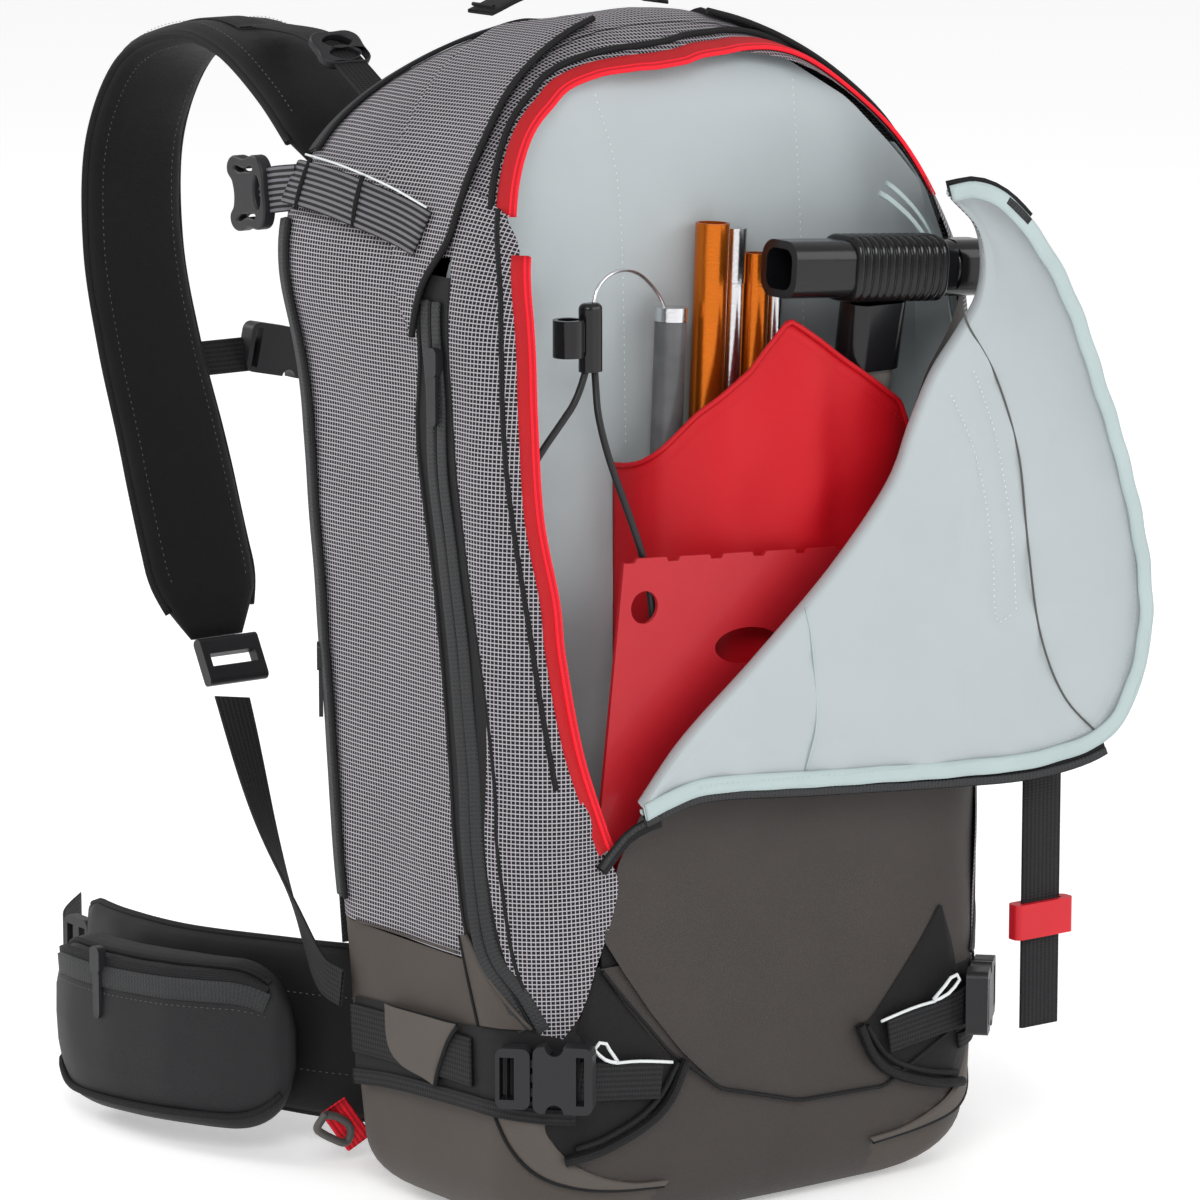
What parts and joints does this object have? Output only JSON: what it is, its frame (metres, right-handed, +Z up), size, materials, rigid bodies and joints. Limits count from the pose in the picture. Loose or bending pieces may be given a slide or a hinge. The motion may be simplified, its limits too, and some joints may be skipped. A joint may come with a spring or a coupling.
{
  "type": "ski backpack",
  "caption": "Panel-loading touring backpack with an unzipped avalanche-tool pocket, padded harness, hip belt, compression straps and a stowed shovel and probe.",
  "frame": {"origin": "middle of the flat patch of the base that the pack stands on", "axes": "+Z up along the pack, -Y out of the front pocket, +Y towards the wearer, +X to the right of the front"},
  "size_m": [0.4437, 0.5162, 0.5955],
  "materials": {
    "grid_cloth": "matte",
    "boot_cloth": "matte",
    "panel_cloth": "matte",
    "black_cloth": "matte",
    "lining_cloth": "matte",
    "red_cloth": "satin",
    "webbing": "matte",
    "foam_pad": "matte",
    "black_plastic": "satin",
    "gloss_black": "gloss",
    "red_plastic": "satin",
    "frame_plastic": "matte",
    "alloy": "brushed",
    "orange_alloy": "anodised gloss",
    "red_alloy": "satin",
    "carbon_tube": "satin"
  },
  "bodies": {
    "pack": {"front_lower_panel": "panel_cloth", "pocket_gusset": "grid_cloth", "main_side_left": "grid_cloth", "main_side_right": "grid_cloth", "boot": "boot_cloth", "pocket_divider": "lining_cloth", "mouth_zip_tape": "red_cloth", "tool_sleeve": "red_cloth", "lumbar_pad": "foam_pad", "compression_socket_left": "black_plastic", "compression_buckle_right": "black_plastic", "compression_web_left": "webbing", "compression_web_right": "webbing", "upper_web_left": "webbing", "upper_web_right": "webbing", "side_zip_left": "black_cloth", "side_zip_right": "black_cloth", "haul_loop": "webbing", "shoulder_web_left": "webbing", "shoulder_web_right": "webbing"},
    "flap": {"flap_panel": "lining_cloth", "flap_zip_coil": "black_cloth"},
    "carry_strap": {"hang_strap": "webbing"},
    "carry_hook": {"hang_hook": "red_plastic"},
    "back_panel": {"back_panel_cloth": "black_cloth", "frame_sheet": "frame_plastic", "frame_stay": "alloy", "back_pad": "foam_pad", "harness_yoke": "black_cloth", "shoulder_strap_left": "foam_pad", "shoulder_strap_right": "foam_pad", "strap_adjuster_left": "black_plastic", "strap_adjuster_right": "black_plastic", "load_lifters": "webbing"},
    "sternum_strap": {"sternum_web": "webbing", "sternum_buckle": "black_plastic"},
    "hip_left": {"hip_wing_left": "foam_pad", "hip_pocket": "black_cloth", "hip_ladder_lock_left": "black_plastic", "hip_web_left": "webbing"},
    "hip_right": {"hip_wing_right": "foam_pad", "hip_ladder_lock_right": "black_plastic", "hip_web_right": "webbing"},
    "upper_buckle": {"upper_buckle_left": "black_plastic"},
    "compression_plug": {"compression_plug_left": "black_plastic"},
    "probe": {"probe_orange_sections": "orange_alloy", "probe_silver_sections": "alloy", "probe_carbon_section": "carbon_tube", "probe_end_fittings": "black_plastic", "probe_knob": "black_plastic", "pull_cord": "webbing", "tension_cable": "alloy"},
    "shovel_handle": {"shovel_grip": "gloss_black", "shovel_neck": "gloss_black", "shovel_shaft": "alloy"},
    "blade": {"shovel_blade": "red_alloy"},
    "slider_left": {"side_zip_slider_left": "black_plastic"},
    "slider_right": {"side_zip_slider_right": "black_plastic"},
    "slider_back": {"back_zip_slider": "black_plastic"},
    "slider_hip": {"hip_pocket_slider": "black_plastic"}
  },
  "joints": [
    {"name": "flap_fold", "type": "hinge", "parent": "pack", "child": "flap", "pos_m": [-0.099, -0.121, 0.188], "axis": [0.5792, 0, 0.8152], "range_deg": [-178, 0]},
    {"name": "carry_strap_swing", "type": "hinge", "parent": "flap", "child": "carry_strap", "pos_m": [0.163, -0.1194, 0.4], "axis": [0, 1, 0], "range_deg": [-20, 0]},
    {"name": "carry_hook_slide", "type": "slide", "parent": "carry_strap", "child": "carry_hook", "axis": [0, 0, 1], "range_m": [-0.03, 0.02]},
    {"name": "back_panel_open", "type": "hinge", "parent": "pack", "child": "back_panel", "pos_m": [0, 0.071, 0.112], "axis": [1, 0, 0], "range_deg": [-38, 0]},
    {"name": "sternum_height", "type": "slide", "parent": "back_panel", "child": "sternum_strap", "axis": [0, 0.3981, 0.9173], "range_m": [-0.02, 0.025]},
    {"name": "hip_wing_left_swing", "type": "hinge", "parent": "pack", "child": "hip_left", "pos_m": [-0.086, 0.083, 0.063], "axis": [0, 0, 1], "range_deg": [0, 20]},
    {"name": "hip_wing_right_swing", "type": "hinge", "parent": "pack", "child": "hip_right", "pos_m": [0.086, 0.083, 0.063], "axis": [0, 0, 1], "range_deg": [-20, 0]},
    {"name": "upper_buckle_swing", "type": "hinge", "parent": "pack", "child": "upper_buckle", "pos_m": [-0.148, 0.113, 0.5115], "axis": [0, 0, 1], "range_deg": [-20, 20]},
    {"name": "compression_release", "type": "slide", "parent": "pack", "child": "compression_plug", "axis": [-0.7071, 0.7071, 0], "range_m": [0, 0.02]},
    {"name": "probe_lift", "type": "slide", "parent": "pack", "child": "probe", "axis": [0.0419, 0, 0.9991], "range_m": [0, 0.06]},
    {"name": "handle_lift", "type": "slide", "parent": "pack", "child": "shovel_handle", "axis": [0, -0.1736, 0.9848], "range_m": [0, 0.03]},
    {"name": "blade_lift", "type": "slide", "parent": "pack", "child": "blade", "axis": [0, 0, 1], "range_m": [0, 0.05]},
    {"name": "side_zip_left_slide", "type": "slide", "parent": "pack", "child": "slider_left", "axis": [0, 0, 1], "range_m": [-0.22, 0.02]},
    {"name": "side_zip_right_slide", "type": "slide", "parent": "pack", "child": "slider_right", "axis": [0, 0, 1], "range_m": [-0.22, 0.02]},
    {"name": "back_zip_slide", "type": "slide", "parent": "pack", "child": "slider_back", "axis": [0, 0.1054, 0.9944], "range_m": [-0.1, 0.15]},
    {"name": "hip_zip_slide", "type": "slide", "parent": "hip_left", "child": "slider_hip", "axis": [0, 1, 0], "range_m": [-0.05, 0.05]}
  ]
}
